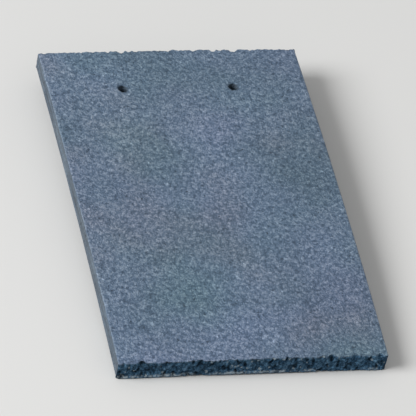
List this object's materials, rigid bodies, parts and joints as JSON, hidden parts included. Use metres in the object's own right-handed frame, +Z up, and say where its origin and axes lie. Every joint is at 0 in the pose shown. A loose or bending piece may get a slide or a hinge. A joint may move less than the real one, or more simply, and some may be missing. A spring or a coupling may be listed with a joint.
{
  "type": "concrete roof tile",
  "caption": "Flat double-lap roof tile of concrete: a slightly cambered plate with hanging nibs under its head and nail holes just below them.",
  "frame": {"origin": "on the level floor that the loose tile lies on, under the middle of the tile's box", "axes": "+X across the tile, +Y from the tail to the head, +Z up, out of the weathered face"},
  "size_m": [0.165, 0.2648, 0.024],
  "materials": {
    "concrete": "matte"
  },
  "bodies": {
    "root": {"roof_tile": "concrete"}
  },
  "joints": []
}
